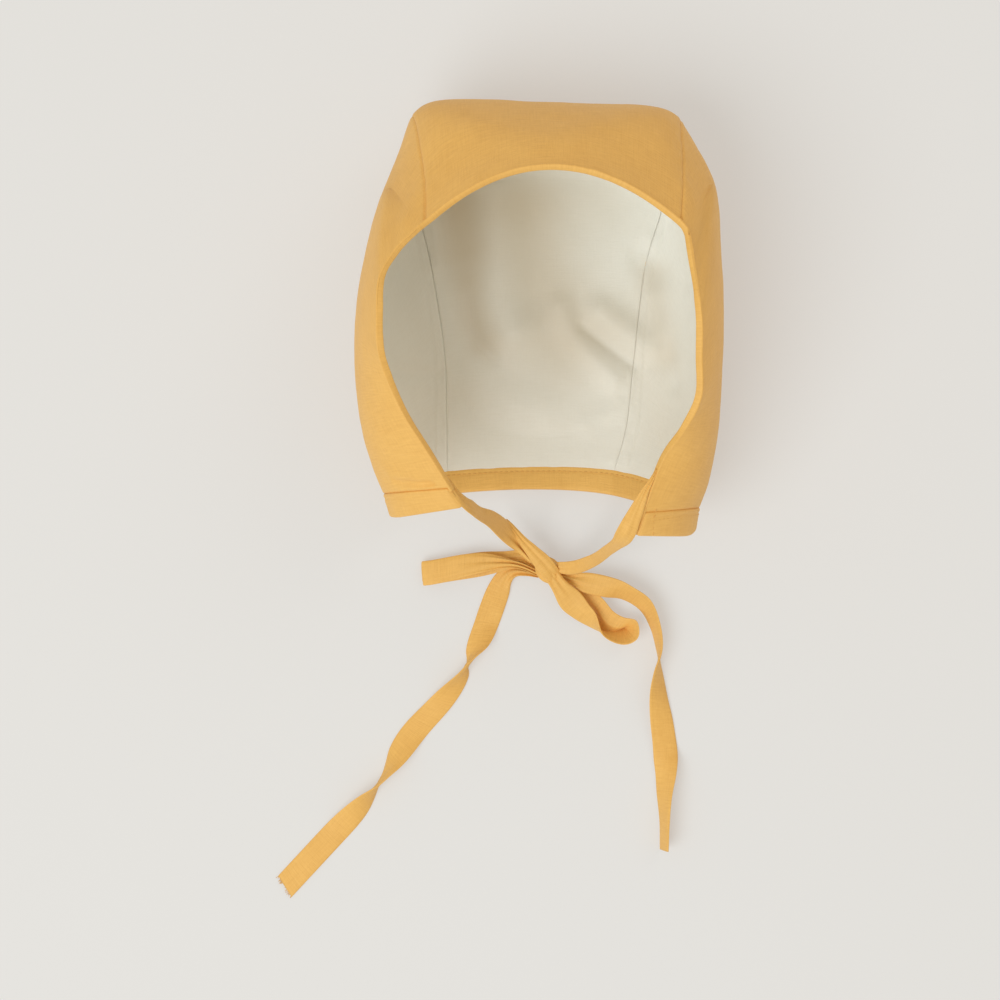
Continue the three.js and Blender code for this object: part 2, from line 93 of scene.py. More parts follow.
def smooth_step(low, high, value):
    t = np.clip((value - low) / (high - low), 0, 1)
    return t * t * (3 - 2 * t)


def bump(distance, reach):
    """A soft bump of height 1 at distance 0 that fades to about a third at reach."""
    return np.exp(-((distance / reach) ** 2))


def length_along(points, axis=0):
    """The length covered up to each point of a line, or along one axis of a grid of points."""
    steps = np.diff(points, axis=axis, prepend=np.take(points, [0], axis=axis))
    return np.cumsum(np.linalg.norm(steps, axis=-1), axis=axis)


NOISE_SHIFT = Vector((31.7, 17.3, 5.1))


def noise_at(points, size, seed):
    """Smooth random numbers from about -1 to 1 that change over a distance of size, in millimetres."""
    flat = [noise.noise(Vector(p) / size + NOISE_SHIFT * seed) for p in np.asarray(points).reshape(-1, 3)]
    return np.array(flat).reshape(np.shape(points)[:-1])


def waves(points, layers):
    """Soft unevenness: the sum of layers of noise, each with its height, its size in mm and its seed."""
    return sum(height * noise_at(points, size, seed) for height, size, seed in layers)


# %% [markdown]
# ## Cloth as a grid
# A sheet of cloth is a grid of threads, so each piece starts as one bmesh grid whose vertices are then moved to their
# places. Its UV map, called cloth, counts metres of real cloth along the two thread directions. The weave is drawn on
# that map later, so it follows every bend and twist and has the same scale on every piece.

# %% A piece of cloth from a grid of points
def cloth_piece(name, points, u, v, tube=False, close=None):
    """A mesh object from a grid of points. u and v are the places on the flat cloth. A tube is closed round its
    columns. close says from 0 to 1 how much shade is painted on each vertex, as a colour."""
    rows, columns = points.shape[:2]
    bm = bmesh.new()
    bmesh.ops.create_grid(bm, x_segments=columns - 1, y_segments=rows - 1, size=0.5)
    cloth = bm.loops.layers.uv.new("cloth")
    # painted shade from 0 to 1 on each vertex, which the weave turns into a darker, warmer colour
    painted_shade = bm.verts.layers.float.new("painted_shade")
    for vertex in bm.verts:
        column = round((vertex.co.x + 0.5) * (columns - 1))
        row = round((vertex.co.y + 0.5) * (rows - 1))
        vertex[painted_shade] = 0 if close is None else close[row, column]
        for loop in vertex.link_loops:
            loop[cloth].uv = (u[row, column] * MM, v[row, column] * MM)
        vertex.co = Vector(points[row, column]) * MM
    if tube:
        bmesh.ops.remove_doubles(bm, verts=bm.verts, dist=0.002 * MM)
        bmesh.ops.holes_fill(bm, edges=[edge for edge in bm.edges if edge.is_boundary])
        bmesh.ops.recalc_face_normals(bm, faces=bm.faces)
    return finish_mesh(name, bm)


def finish_mesh(name, bm):
    for face in bm.faces:
        face.smooth = True
    mesh = bpy.data.meshes.new(name)
    bm.to_mesh(mesh)
    bm.free()
    piece = bpy.data.objects.new(name, mesh)
    bpy.context.scene.collection.objects.link(piece)
    return piece


# %% [markdown]
# ## The ties
# Each tie is a strip of the mustard cotton, folded lengthwise and sewn, 10.5 mm wide and limp. It could be a curve
# with a flat bevel, but a curve can't gather its cloth into a knot. So the strip is a grid wrapped round a flat
# section: each row of the table says where its middle is, which way its width lies, how far the width tips up and how
# wide it is there. Where a row is narrower than the strip, the spare cloth stands up in lengthwise pleats.
# The free lengths are those that the photograph shows, and the routes follow the CAD solids. Each lead starts a little
# earlier than its solid, because it is sewn along the bonnet's front corner, and lies a few millimetres from it there.
# Most stretches also run on into the knot. The right tail twists the other way than its solid, as its shading shows.

# %% The ties' sizes and routes
TIE_WIDTH = 10.5
TIE_CLOTH = 1.1
TIE_STEPS = 10
TIE_AROUND = 20


def tie_rows(*rows):
    """Rows of x, y, z in mm, the width's way in plan and its tip in degrees, the width, and the rise of a ridge."""
    return np.array([(*row, *(TIE_WIDTH, 0)[len(row) - 5 :]) for row in rows], float)


LEAD_LEFT = tie_rows(
    (-38.6, -54.2, 78.2, -140, 64, 3),
    (-36.3, -57.3, 76.7, -138, 64, 5),
    (-33.2, -60.9, 74.5, -130, 63, 7.4),
    (-30.7, -63.3, 71.6, -112, 61, 8.8),
    (-28.4, -65.1, 66, -94, 54, 9.8),
    (-25.3, -67.6, 53, -97, 58),
    (-20.8, -69.8, 38.5, -114, 50),
    (-16.4, -73.6, 26, -118, 42),
    (-12.2, -77.8, 17, -120, 28, 8.2),
    (-7.8, -82.6, 11.6, -126, 16, 4.8),
    (-3.4, -88, 9.6, -130, 10, 2.6),
)
LEAD_RIGHT = tie_rows(
    (45.8, -49.6, 84.3, 150, 8, 1),
    (43.5, -54.2, 83.9, 150, 4, 2),
    (41.4, -58, 83, 150, 0, 3.1),
    (39.6, -62, 82.1, 150, -2, 4.6, 0.3),
    (37.7, -66.3, 81.2, 151, -2, 5.8, 0.5),
    (36, -70, 80.2, 151, 4, 6.8, 0.6),
    (34.5, -73.5, 79.1, 150, 18, 8.2, 0.6),
    (32.6, -77, 76, 146, 34, 9.2, 0.3),
    (30.4, -79.8, 68, 142, 55, 9.8),
    (27.2, -83, 49, 138, 61),
    (22.7, -87, 30, 132, 58),
    (16.8, -90, 17, 112, 46, 8.6),
    (12, -91, 12.2, 98, 34, 7),
    (7.5, -90.7, 10.5, 92, 20, 5),
)
LOOP_LEFT = tie_rows(
    (0.5, -94, 6, -122, 14, 2.4),
    (-8.2, -90.2, 6.8, -115, 12, 3),
    (-15.9, -88.8, 6.9, -105, 10, 5),
    (-23.6, -88.8, 6.7, -96, 6, 8.2),
    (-31.2, -89.9, 6.2, -93, 3, 9.8),
    (-38.5, -91.5, 5.2, -90, 0),
    (-46, -93, 4.6, -88, 0),
    (-50, -93.5, 3.2, -86, 0),
    (-46, -93, 1.8, -87, 0),
    (-38, -91.6, 1.8, -86, 0),
    (-25.5, -89.6, 2.2, -88, 2),
    (-15.5, -88.2, 3, -95, 6, 8.5),
    (-8.3, -86.6, 4.2, -112, 8, 6.5),
    (-4.3, -88.9, 5, -125, 10, 4.2),
    (-0.6, -92.3, 5.6, -130, 10, 2.6),
)
LOOP_RIGHT = tie_rows(
    (3.5, -91.5, 10.2, 38, 8, 6.6),
    (8, -98.2, 9.6, 36, 14, 7.2),
    (12.7, -104.3, 7.6, 40, 8),
    (17.6, -109.5, 6.4, 40, 32),
    (22.2, -113.4, 5.6, 54, 54),
    (26.2, -118.2, 5.4, 60, 90),
    (30.5, -119.6, 5, 72, 117),
    (35.6, -120.4, 4.6, 95, 130),
    (39, -119.2, 4.6, 135, 130),
    (39.3, -116.6, 4.6, 186, 126),
    (37.8, -115.3, 4.4, 214, 134, 10.5, 0.3),
    (33, -115.8, 4.2, 232, 152, 10.5, 0.8),
    (28.7, -113.4, 4.2, 236, 155, 10.5, 1),
    (25, -107.8, 4, 232, 142, 10, 1),
    (21, -103.8, 3.6, 228, 150, 8.8, 0.6),
    (17, -99.5, 2.8, 226, 160, 7),
    (12, -96.5, 2.6, 235, 168, 5.5),
)
TAIL_LEFT = tie_rows(
    (-0.3, -94.3, 4, 72, 8, 2.2),
    (-5.5, -92.9, 3.6, 78, 6, 3.6),
    (-10.5, -92.6, 3, 95, 2, 5),
    (-14.6, -95, 1.8, 128, 0, 7.6),
    (-17.6, -100.8, 0.9, 154, 0, 9.8),
    (-20.5, -108.5, 0.9, 166, 0),
    (-23.3, -116.5, 0.9, 173, 0),
    (-27, -125.5, 3.4, 186, -30),
    (-30.9, -132.4, 4.6, 198, -90, 8),
    (-34.3, -138.5, 4.2, 186, -135),
    (-42.5, -149, 1.6, 164, -174),
    (-53, -160.5, 0.9, 148, -180),
    (-60.3, -170.3, 3, 136, -205),
    (-64.5, -177, 4.4, 134, -238, 9.5),
    (-68.7, -183.3, 4.6, 132, -268, 8.5),
    (-76, -192.5, 3.8, 132, -318),
    (-88, -205, 0.9, 134, -356),
    (-99, -216.8, 0.9, 138, -360),
    (-109.4, -228, 0.9, 139, -360),
)
TAIL_RIGHT = tie_rows(
    (8.5, -94.6, 6, 70, -4, 3.2),
    (13.5, -95.8, 6.2, 72, 0, 5),
    (19.7, -97.2, 7.4, 72, 5, 8.8),
    (28.8, -99.2, 8.4, 64, 18, 9.8),
    (37, -101.6, 6.8, 54, 48),
    (45.2, -107, 5.4, 48, 54),
    (49.5, -116, 5.4, 34, 66),
    (51.2, -126, 5.4, 10, 80),
    (50.7, -135.5, 5.3, 0, 112),
    (51, -146, 4.2, -8, 140),
    (52.4, -157, 2.2, 0, 162),
    (53.9, -168.5, 1.4, 0, 176),
    (54.1, -178.5, 3.8, 0, 212),
    (53.4, -189, 5.1, 0, 236),
    (53.4, -200, 5.4, 0, 250),
    (53.3, -212, 5.4, 0, 254),
)
print("longest tail has", len(TAIL_LEFT), "rows")

# %% A tie from its rows
# Places across the strip are counted from -1 to 1, and heights and lengths in mm
SEWN_AT, SEWN_REACH, SEWN_DIP = 0.72, 0.06, 0.16
EDGE_POWER = 5
FLAT_FROM = 0.3
PLEATS = 1.15
PLEAT_DEPTH = 1.3
PLEAT_WANDER = (0.25, 14)
MOST_GATHER = 0.7
FINE_PLEAT = 0.35
EDGE_WANDER = (0.1, 9)
RIDGE_AT, RIDGE_REACH = -0.05, 0.3
SLANT_LENGTH = 30
TIE_LOWEST = 0.05


def strip_frames(rows):
    """Middle, way of the width, way of the thickness, width and ridge at each step along a strip."""
    t = np.linspace(0, len(rows) - 1, (len(rows) - 1) * TIE_STEPS + 1)
    values = through(rows, t)
    middle, width, ridge = values[:, :3], values[:, 5], values[:, 6]
    across, tip = np.radians(values[:, 3]), np.radians(values[:, 4])
    way = np.stack([np.cos(across) * np.cos(tip), np.sin(across) * np.cos(tip), np.sin(tip)], axis=1)
    thick = unit(np.cross(way, np.gradient(middle, axis=0)))
    return middle, way, thick, width, ridge


def strip_pleats(x, along, width, seed):
    """The height of the lengthwise pleats from -1 to 1, which grows as the strip is gathered."""
    gather = np.clip(1 - width / TIE_WIDTH, 0, MOST_GATHER)[:, None]
    wander = waves(np.outer(along, (1, 0, 0)), [(*PLEAT_WANDER, seed + 40)])[:, None] + PLEATS * x + 0.4 * seed
    fine = FINE_PLEAT * np.cos(4.6 * np.pi * wander + seed)
    return gather * (np.cos(2 * np.pi * wander) + fine) * (1 - 0.5 * x**2)


def strip_points(rows, seed, slant=0.0, pleat_depth=PLEAT_DEPTH):
    """The grid of a folded strip: across its upper face and back across its lower face, at each step along it."""
    middle, way, thick, width, ridge = strip_frames(rows)
    along = length_along(middle)
    half_turn = -np.cos(np.linspace(0, np.pi, TIE_AROUND + 1))
    x = np.concatenate([half_turn, half_turn[::-1][1:]])
    side = np.concatenate([np.ones(TIE_AROUND + 1), -np.ones(TIE_AROUND)])
    body = TIE_CLOTH / 2 * np.sqrt(np.clip(1 - np.abs(x) ** EDGE_POWER, 0, 1))
    body -= SEWN_DIP * bump(x - SEWN_AT, SEWN_REACH) * (body > FLAT_FROM)
    edge = waves(np.outer(along, (1, 0, 0)), [(*EDGE_WANDER, seed)])[:, None] * x**2
    lift = side * body + pleat_depth * strip_pleats(x, along, width, seed) + edge
    lift += ridge[:, None] * bump(x - RIDGE_AT, RIDGE_REACH)
    points = middle[:, None] + way[:, None] * (width[:, None] / 2 * x)[..., None] + thick[:, None] * lift[..., None]
    tail = np.clip((along - along[-1] + SLANT_LENGTH) / SLANT_LENGTH, 0, 1)[:, None] ** 2
    points += unit(np.gradient(middle, axis=0))[:, None] * (slant * tail * x)[..., None]
    points[..., 2] = np.maximum(points[..., 2], TIE_LOWEST)
    u = np.where(side > 0, x, 2 - x) * TIE_WIDTH / 2 + 0 * along[:, None]
    v = along[:, None] + 0 * x
    return points, u, v


def tie_piece(name, node, rows, seed, slant=0.0, pleat_depth=PLEAT_DEPTH):
    """A tie's piece in place of its CAD solid, which it hides."""
    piece = cloth_piece(name, *strip_points(rows, seed, slant, pleat_depth), tube=True)
    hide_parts(node)
    return piece


# %% [markdown]
# ## The bow's knot
# In a real bow the strips are squeezed where one strip is wrapped once round the others. The wrap is what is seen: a
# short, tight strip that comes over the top and dives under at the lower right. It is made as a strip too, so it has
# the same thickness and pleats. Under it a small pleated core fills the middle, as the squeezed cloth does.

# %% The knot
KNOT_MIDDLE = (3.5, -92, 6.4)
KNOT_RADII = (6.6, 4.9, 5.6)
KNOT_TURN = -48
KNOT_PLEATS, KNOT_PLEAT_DEPTH = 9, 0.09
SMOOTH_PLEATS = 0.45
WRAP = tie_rows(
    (-15, -70.6, 20.6, 24, 0, 2.4),
    (-12.6, -72.9, 18.4, 29, 0, 2.6),
    (-10.1, -75.8, 16, 34, 2, 3),
    (-7.2, -79.4, 14.4, 37, 4, 4),
    (-3, -84, 13.2, 38, 4, 5.8),
    (0.9, -88.3, 13.2, 38, 2, 7.4),
    (3.8, -91.8, 12.8, 36, 0, 7.2),
    (5.8, -94.2, 10.2, 36, 0, 6.6),
    (5.8, -95.2, 6.4, 38, 0, 6),
    (4.2, -93.2, 2.4, 40, 0, 6),
)


def knot_core():
    """A squashed ball whose surface is pleated along the strips that it holds."""
    bm = bmesh.new()
    bmesh.ops.create_uvsphere(bm, u_segments=64, v_segments=32, radius=1)
    for vertex in bm.verts:
        round_core = KNOT_PLEATS * math.atan2(vertex.co.z, vertex.co.y)
        pleat = 1 + KNOT_PLEAT_DEPTH * math.cos(round_core) * (1 - vertex.co.x**2)
        vertex.co = Vector((vertex.co.x, vertex.co.y * pleat, vertex.co.z * pleat))
    turn = Matrix.Rotation(math.radians(KNOT_TURN), 4, "Z")
    place = Matrix.Translation(Vector(KNOT_MIDDLE) * MM) @ turn @ Matrix.Diagonal((*(Vector(KNOT_RADII) * MM), 1))
    bmesh.ops.transform(bm, matrix=place, verts=bm.verts)
    cloth = bm.loops.layers.uv.new("cloth")
    for face in bm.faces:
        for loop in face.loops:
            loop[cloth].uv = (loop.vert.co.x, loop.vert.co.y + loop.vert.co.z)
    return finish_mesh("knot_core", bm)


core = knot_core()
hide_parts("bow_knot")
wrap = cloth_piece("knot_wrap", *strip_points(WRAP, 7, pleat_depth=SMOOTH_PLEATS), tube=True)
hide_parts("bow_knot")
print("the wrap is", round(length_along(strip_frames(WRAP)[0])[-1]), "mm long")

# %% The six stretches of the ties
lead_left = tie_piece("lead_left", "tie_lead_left", LEAD_LEFT, 1)
lead_right = tie_piece("lead_right", "tie_lead_right", LEAD_RIGHT, 2, pleat_depth=SMOOTH_PLEATS)
loop_left = tie_piece("loop_left", "bow_loop_left", LOOP_LEFT, 3)
loop_right = tie_piece("loop_right", "bow_loop_right", LOOP_RIGHT, 4)

# %% [markdown]
# ## The frayed end
# The left tail is cut across and not hemmed, so its threads have worked loose. Each loose thread is a very thin strip
# with five sides, one or two millimetres long, that starts inside the cut edge and bends its own way. A seeded random
# generator gives the same threads at every run.

# %% Loose threads at the cut end
THREADS = 46
THREAD_WIDTH = 0.16
THREAD_LENGTH = (0.7, 2.0)
THREAD_HEIGHT = (0.3, 1.3)
THREAD_STEPS = 3
THREAD_SAG = 0.1
STARTS_INSIDE = 0.5


def grown(bm, cap):
    """Extrudes one face and gives back the new one."""
    made = bmesh.ops.extrude_face_region(bm, geom=[cap])["geom"]
    bm.faces.remove(cap)
    return next(part for part in made if isinstance(part, bmesh.types.BMFace))


def loose_threads(rows, slant):
    """Thin bent threads that stand out of the cut end of a tail."""
    pick = random.Random(5)
    middle, way, _, width, _ = strip_frames(rows)
    ahead = unit(middle[-1] - middle[-4])
    bm = bmesh.new()
    for _ in range(THREADS):
        x = pick.uniform(-0.97, 0.97)
        start = middle[-1] + way[-1] * width[-1] / 2 * x + ahead * (slant * x - STARTS_INSIDE)
        reach = pick.uniform(*THREAD_LENGTH)
        heading = ahead + way[-1] * pick.uniform(-0.45, 0.45)
        bend = way[-1] * pick.uniform(-0.5, 0.5)
        ring = bmesh.ops.create_circle(bm, cap_ends=True, radius=THREAD_WIDTH / 2 * MM, segments=5)["verts"]
        turn = Vector(heading).to_track_quat("Z", "Y").to_matrix().to_4x4()
        start[2] = pick.uniform(*THREAD_HEIGHT)
        bmesh.ops.transform(bm, matrix=Matrix.Translation(Vector(start) * MM) @ turn, verts=ring)
        cap = next(face for face in bm.faces if set(face.verts) == set(ring))
        for step in range(1, THREAD_STEPS + 1):
            cap = grown(bm, cap)
            move = (heading + bend * step / 2) * reach / THREAD_STEPS
            move[2] -= THREAD_SAG * step
            bmesh.ops.translate(bm, vec=Vector(move) * MM, verts=cap.verts)
    bmesh.ops.recalc_face_normals(bm, faces=bm.faces)
    return finish_mesh("loose_threads", bm)


TAIL_SLANT = -1.6
threads = loose_threads(TAIL_LEFT, TAIL_SLANT)
tail_left = tie_piece("tail_left", "tie_tail_left", TAIL_LEFT, 5, TAIL_SLANT)
tail_right = tie_piece("tail_right", "tie_tail_right", TAIL_RIGHT, 6)
print(THREADS, "loose threads")

# %% [markdown]
# ## The shape of the bonnet
# The three panels meet along two seams, so one surface carries them all. A place on it has a row, counted along the
# bonnet from the face edge (0) to the band (8) and the neck (9), and a hoop, counted across it: -2 is the left free
# edge, -1 the left seam, 0 the middle of the strip, 1 the right seam and 2 the right free edge.
# The tables are those of the CAD source. A hoop of a side panel is a quarter round from the seam to the bulge, then it
# leans in to the free edge. By the forehead, where it has no height, it is a shallow curve.

# %% The measured rows
STRIP = np.array([
    # centre x, y, z and how square the cross curve is
    (3.5, 70, 100, 2), (3, 86, 84, 2.6), (2.5, 100.9, 54, 10), (3, 102, 16, 5), (3, 76.5, 0, 3),
    (2, 40.5, -2, 3), (0.5, 5, -2, 3), (0, -25.5, -1, 2.5), (0, -48.5, 2, 2.2), (0, -57.5, 3.5, 2.2),
])
LEFT_SIDE = np.array([
    # seam x, y, z, bulge x, y, z and free edge x, y, z
    (-46.5, 47.5, 101, -48, 46.5, 101.5, -49.5, 45, 101.7),
    (-47.5, 68, 84, -55, 56, 89, -58, 36.5, 102.5),
    (-52.5, 95, 54, -64.3, 63.7, 64, -64.5, 25.5, 103),
    (-54, 91.5, 18, -73.2, 33.8, 56, -65.5, 12, 103),
    (-53, 67.5, 1.5, -76.5, 10.5, 54, -65, -3, 101.5),
    (-46.5, 38, 0, -76.5, -11, 53, -61.4, -14.7, 98),
    (-41, 2.5, 0, -74, -32.5, 51, -54.7, -28.9, 93),
    (-40, -27.5, 1.5, -70, -47, 48, -44.5, -45, 86),
    (-39.5, -50.5, 5, -65, -60.2, 44, -36.5, -58, 80),
    (-38, -59.5, 7, -62, -69.8, 42, -31.5, -65, 77),
])
RIGHT_SIDE = np.array([
    (54.5, 47.5, 101, 56, 46, 101.5, 57.5, 43.5, 101.7),
    (56.5, 69, 84, 62.5, 54.5, 89, 59, 33, 102.5),
    (57.5, 93.5, 54, 70.5, 66.5, 64, 61, 20.5, 103),
    (59.5, 92, 18, 73.5, 38, 56, 62.5, 8, 102.5),
    (54.5, 68.5, 1.5, 74.5, 12.5, 54, 62.5, -6, 101),
    (45.5, 38.5, 0, 74, -10, 53, 62.5, -21.5, 98),
    (41, 2.5, 0, 72.5, -34.5, 51, 56, -34.8, 93),
    (37.5, -29.5, 1.5, 69.5, -53.5, 48, 48, -46, 87),
    (32, -50, 5, 65.5, -66, 44, 40, -68.2, 80),
    (31, -60, 7, 63.5, -77, 42, 37.5, -76.5, 77),
])
BAND_ROW, NECK_ROW = 8, 9
print("rows:", len(STRIP), len(LEFT_SIDE), len(RIGHT_SIDE))

# %% The surface of the bonnet
BULGE_AT = 0.55
EDGE_LEAN = math.radians(62)
ROUND_BY_ROW = 3
NAPE_ROUND = 0.6
NAPE_ROWS = (5, 8)
TIP_ROW = 0.5
EDGE_FROM, EDGE_HOOP = 1.9, 1.93
ROW_STEP, HOOP_STEP = 0.05, 0.04


def side_face(rows, row, u):
    """A side panel's outer face, from its seam (u 0) to its free edge (u 1)."""
    values = through(rows, row)
    seam, bulge, edge = values[..., :3], values[..., 3:6], values[..., 6:]
    at_bulge = (u * (u - 1) / (BULGE_AT * (BULGE_AT - 1)))[..., None]
    at_edge = (u * (u - BULGE_AT) / (1 - BULGE_AT))[..., None]
    shallow = seam * (1 - at_bulge - at_edge) + bulge * at_bulge + edge * at_edge
    turn = u / BULGE_AT * np.pi / 2
    rise = 1 - np.cos(turn)
    by_nape = NAPE_ROUND * smooth_step(*NAPE_ROWS, row)
    forward = np.sin(turn) * (1 - by_nape) + rise * by_nape
    low = seam + (bulge - seam) * np.stack([np.sin(turn), forward, rise], axis=-1)
    lean = (u - BULGE_AT) / (1 - BULGE_AT) * EDGE_LEAN
    inward = (1 - np.cos(lean)) / (1 - math.cos(EDGE_LEAN))
    upward = np.sin(lean) / math.sin(EDGE_LEAN)
    high = bulge + (edge - bulge) * np.stack([inward, inward, upward], axis=-1)
    hoop = np.where((u < BULGE_AT)[..., None], low, high)
    mix = smooth_step(0, ROUND_BY_ROW, row)[..., None]
    return shallow * (1 - mix) + hoop * mix


def strip_face(row, w):
    """The centre strip's outer face, from its left seam (w -1) to its right seam (w 1)."""
    centre, left, right = through(STRIP, row), through(LEFT_SIDE, row)[..., :3], through(RIGHT_SIDE, row)[..., :3]
    sag = (left + right) / 2 - centre[..., :3]
    return centre[..., :3] + (right - left) / 2 * w[..., None] + sag * (np.abs(w) ** centre[..., 3])[..., None]


def bonnet_face(row, hoop):
    """The outer face at a row and a hoop, laid on the surface where it would sink into it."""
    w = np.clip(hoop, -1, 1)
    u = np.clip(np.abs(hoop) - 1, 0, 1)
    left, right = side_face(LEFT_SIDE, row, u), side_face(RIGHT_SIDE, row, u)
    side = np.where((hoop < 0)[..., None], left, right)
    points = np.where((np.abs(hoop) > 1)[..., None], side, strip_face(row, w))
    points[..., 2] = np.maximum(points[..., 2], 0)
    return points


def bonnet_out(row, hoop):
    """The way out of the cloth. At the pointed tips by the forehead and along the free edges it is taken a little
    further in."""
    inside = TIP_ROW * smooth_step(0.9, 1.0, np.abs(hoop))
    row = np.maximum(row, inside)
    near = np.where(np.abs(hoop) > EDGE_FROM, np.sign(hoop) * EDGE_HOOP, hoop)
    to_right, to_left = np.clip(near + HOOP_STEP, -2, 2), np.clip(near - HOOP_STEP, -2, 2)
    to_neck, to_face = np.minimum(row + ROW_STEP, NECK_ROW), np.maximum(row - ROW_STEP, 0)
    across = bonnet_face(row, to_right) - bonnet_face(row, to_left)
    along = bonnet_face(to_neck, near) - bonnet_face(to_face, near)
    return unit(np.cross(across, along))


def bonnet_place(row, hoop, depth):
    """A place at a depth under the outer face. Negative depths stand proud of it."""
    return bonnet_face(row, hoop) - bonnet_out(row, hoop) * np.asarray(depth)[..., None]


middles = bonnet_face(np.array([0.0, 4.0, BAND_ROW]), np.zeros(3))
print("middle of the face edge, the back and the band seam:", middles.round(1).tolist())

# %% [markdown]
# ## The slack of the cloth
# Cotton that has been worn and laid down is never smooth: it has soft dents a few centimetres wide, finer creases, and
# small puckers where the thread draws a seam together. Cloth simulation could make such dents, but not these ones, so
# they are laid on one by one. The broad ones are a table of bent lines, each with a rise and a reach, and the rest is
# smooth noise. A second table of bent lines says where shade is painted on the lining: there its colour moves to a
# darker, warmer cream.

# %% Seams, puckers and creases
SEAM_DIP = 0.55
SEAM_REACH = 0.8
PUCKER_REACH = 4.5
OUTER_CREASES = [
    # the places of a bent line, its rise and its reach in mm: a rise below zero is a crease
    (((-59, -54.2, 66.5), (-52.5, -54.8, 72.9), (-44.5, -56.1, 78.4)), -1.2, 1.5),
    (((-58, -58, 64.6), (-51.7, -57.3, 71.6), (-44, -57, 77.2)), 0.5, 0.9),
    (((-60, -50.6, 66), (-50, -51.6, 75.5)), 0.8, 3.2),
    (((-44, 98, 46), (-20, 101, 46)), 0.9, 12),
    (((24, 100, 46), (42, 98, 46)), -0.9, 11),
]
LINING_FOLDS = [
    (((-20, 70, 2), (-18, 45, 2), (-18, 24, 2), (-13, 10, 2)), 6.5, 11),
    (((-46, 62, 3), (-43.5, 40, 2)), 1.5, 2.8),
    (((-31, 22, 2), (-27, 6, 2), (-20, -1, 2)), -1.4, 3),
    (((-8, 11, 2), (3, 13, 2)), 1.2, 6),
    (((9, 21, 2), (14, 8, 2), (32, -10, 2)), 2.8, 5.5),
    (((26, 19, 2), (44, 5, 4)), 3.4, 6),
    (((18, 12.4, 2), (41, -5, 2)), -1.3, 1.7),
    (((-26, -10, 2), (2, -24, 2)), 1.6, 8),
    (((20, -30, 2), (34, -22, 3)), 1.0, 5),
    (((44, 42, 4), (60, 32, 16)), -2.2, 5),
    (((48, 26, 4), (51, 4, 6)), 1.6, 5),
    (((52, 4, 8), (56, -12, 12)), -1.5, 4),
    (((-62, -7.5, 14), (-43, -8, 2)), -1.5, 2.6),
    (((-50, 60, 8), (-66, 40, 40)), 1.6, 6),
    (((-12, 101, 40), (6, 96, 12), (40, 80, 4)), 2.2, 8),
]
LINING_SINKS = 1.1
# Painted shade on the lining: each line darkens it towards a warm brown cream where it lies in shade.
PAINTED_SHADE_LINES = [
    # the places of a bent line, how much shade is painted there from 0 to 1, and the reach
    (((-40, 84, 14), (-36, 60, 2), (-33, 46, 2)), 0.62, 12),
    (((-31, 30, 2), (-28, 16, 2), (-24, 6, 2)), 0.42, 8),
    (((-30, 72, 3), (24, 68, 3)), 0.22, 17),
    (((-8, 62, 2), (0, 34, 2), (12, 8, 2)), 0.5, 20),
    (((36, 14, 4), (44, -2, 6), (50, -32, 10)), 0.2, 12),
    (((48, 34, 4), (53, 0, 8)), 0.35, 7),
]


def crest_lift(points, crests):
    """How far the crests lift each point: each is a ridge along a bent line that fades to its sides."""
    total = np.zeros(points.shape[:-1])
    for places, rise, reach in crests:
        nearest = np.full(points.shape[:-1], np.inf)
        for start, end in zip(places, places[1:]):
            start, line = np.array(start, float), np.subtract(end, start)
            t = np.clip(((points - start) @ line) / (line @ line), 0, 1)
            nearest = np.minimum(nearest, np.linalg.norm(points - (start + t[..., None] * line), axis=-1))
        total += rise * bump(nearest, reach)
    return total


def pucker(points, from_seam, layers):
    """The small puckers that fade away from a seam."""
    return np.exp(-from_seam / PUCKER_REACH) * waves(points, layers)


def seam_distance(row, hoop):
    """How far in millimetres a place is from the nearer of the two panel seams."""
    seam = np.where(hoop < 0, -1.0, 1.0)
    return np.linalg.norm(bonnet_face(row, hoop) - bonnet_face(row, seam), axis=-1)


# %% [markdown]
# ## The outer panels
# Each panel is one grid from seam to seam and from the face edge to the band. The seams dip where the thread pulls
# them in. The grid is the outside of the cloth, and a Solidify modifier gives it its half millimetre inwards.

# %% The outer panels
OUTER_CLOTH = 0.5
PANEL_ROWS = 170
PANEL_COLUMNS = 120
OUTER_ROWS = (0.02, BAND_ROW + 0.06)
OUTER_LOWEST = 0.02
OUTER_PUCKERS = [(0.35, 5, 2)]
OUTER_WAVES = [(0.35, 26, 3), (0.16, 9, 4), (0.05, 3, 6)]
SIDE_WIDTH = 90
EDGE_FADE = 5
FACE_FADE_ROW = 0.4
LEFT_AT_EDGE = 0.3
TUCK_DEPTH, TUCK_ROW, TUCK_REACH = 0.8, BAND_ROW - 0.03, 0.05


def gathered_steps(count):
    """Steps from 0 to 1 that are twice as close near both ends."""
    k = np.linspace(0, 1, count + 1)
    return 0.5 * k + 0.25 * (1 - np.cos(np.pi * k))


def cloth_lengths(points):
    """Distances in millimetres over the cloth, across from its middle column and along from its first row."""
    across, along = length_along(points, 1), length_along(points, 0)
    middle = points.shape[1] // 2
    return across - across[:, middle : middle + 1], along[:, middle : middle + 1] + 0 * across


def panel_grid(hoops, rows):
    """The row and the hoop of each vertex of a panel, between its first and last hoop and row."""
    row = rows[0] + (rows[1] - rows[0]) * gathered_steps(PANEL_ROWS)
    hoop = hoops[0] + (hoops[1] - hoops[0]) * gathered_steps(PANEL_COLUMNS)
    return np.meshgrid(row, hoop, indexing="ij")


def panel_piece(name, node, points, cloth, offset, close=None):
    """A panel in place of its CAD solid, which it hides, cut from a rectangle of flat millimetres. offset -1 puts
    the thickness of the cloth on the inside of the grid and 1 on the outside."""
    piece = cloth_piece(name, points, *cloth_lengths(points), close=close)
    wall = piece.modifiers.new("cloth_thickness", "SOLIDIFY")
    wall.thickness = cloth * MM
    wall.offset = offset
    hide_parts(node)
    return piece


